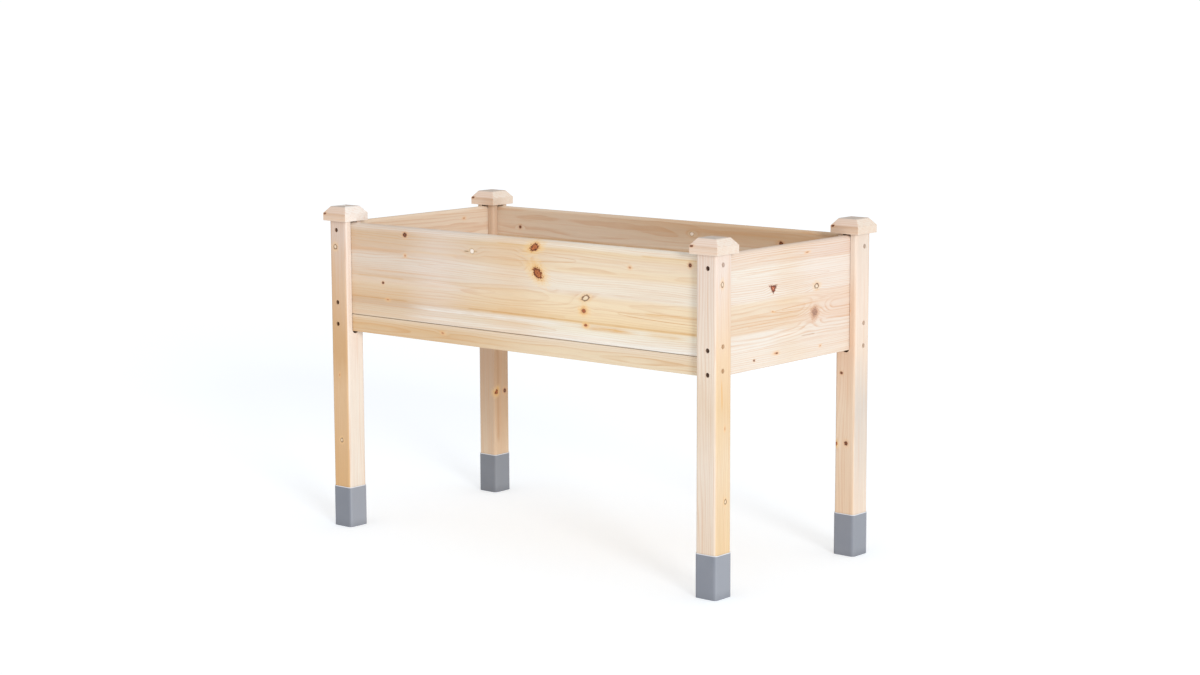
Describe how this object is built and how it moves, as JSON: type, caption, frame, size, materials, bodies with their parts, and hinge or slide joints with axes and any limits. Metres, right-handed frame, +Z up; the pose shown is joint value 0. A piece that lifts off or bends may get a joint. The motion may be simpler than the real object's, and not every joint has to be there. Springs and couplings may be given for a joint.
{
  "type": "raised planter on legs",
  "caption": "Rectangular wooden planting trough held between square posts, with chamfered post caps, a slatted floor and plastic foot covers.",
  "frame": {"origin": "on the ground, at the middle of the footprint", "axes": "+X along the length towards the right end, -Y out of the front long side, +Z up"},
  "size_m": [1.16, 0.58, 0.76],
  "materials": {
    "post_wood": "planed pale fir, unfinished, with small knots",
    "cap_wood": "planed pale fir, unfinished",
    "panel_wood": "edge-glued fir staves of differing tone, planed, unfinished",
    "floor_wood": "sawn fir, unfinished",
    "foot_plastic": "satin moulded grey plastic",
    "screw_steel": "zinc-plated steel",
    "dowel_wood": "plain beech dowel"
  },
  "bodies": {
    "root": {"cap_dowel_front_left": "dowel_wood", "cap_dowel_front_right": "dowel_wood", "cap_dowel_rear_left": "dowel_wood", "cap_dowel_rear_right": "dowel_wood", "floor_slat_01": "floor_wood", "floor_slat_02": "floor_wood", "floor_slat_03": "floor_wood", "floor_slat_04": "floor_wood", "floor_slat_05": "floor_wood", "floor_slat_06": "floor_wood", "floor_slat_07": "floor_wood", "floor_slat_08": "floor_wood", "floor_slat_09": "floor_wood", "floor_slat_10": "floor_wood", "foot_cover_front_left": "foot_plastic", "foot_cover_front_right": "foot_plastic", "foot_cover_rear_left": "foot_plastic", "foot_cover_rear_right": "foot_plastic", "front_bottom_rail": "panel_wood", "front_floor_cleat": "floor_wood", "front_panel": "panel_wood", "left_end_panel": "panel_wood", "post_cap_front_left": "cap_wood", "post_cap_front_right": "cap_wood", "post_cap_rear_left": "cap_wood", "post_cap_rear_right": "cap_wood", "post_front_left": "post_wood", "post_front_right": "post_wood", "post_rear_left": "post_wood", "post_rear_right": "post_wood", "post_screw_front_left_end_bottom": "screw_steel", "post_screw_front_left_end_middle": "screw_steel", "post_screw_front_left_end_top": "screw_steel", "post_screw_front_left_long_bottom": "screw_steel", "post_screw_front_left_long_middle": "screw_steel", "post_screw_front_left_long_top": "screw_steel", "post_screw_front_right_end_bottom": "screw_steel", "post_screw_front_right_end_middle": "screw_steel", "post_screw_front_right_end_top": "screw_steel", "post_screw_front_right_long_bottom": "screw_steel", "post_screw_front_right_long_middle": "screw_steel", "post_screw_front_right_long_top": "screw_steel", "post_screw_rear_left_end_bottom": "screw_steel", "post_screw_rear_left_end_middle": "screw_steel", "post_screw_rear_left_end_top": "screw_steel", "post_screw_rear_left_long_bottom": "screw_steel", "post_screw_rear_left_long_middle": "screw_steel", "post_screw_rear_left_long_top": "screw_steel", "post_screw_rear_right_end_bottom": "screw_steel", "post_screw_rear_right_end_middle": "screw_steel", "post_screw_rear_right_end_top": "screw_steel", "post_screw_rear_right_long_bottom": "screw_steel", "post_screw_rear_right_long_middle": "screw_steel", "post_screw_rear_right_long_top": "screw_steel", "rear_bottom_rail": "panel_wood", "rear_floor_cleat": "floor_wood", "rear_panel": "panel_wood", "right_end_panel": "panel_wood"}
  },
  "joints": []
}
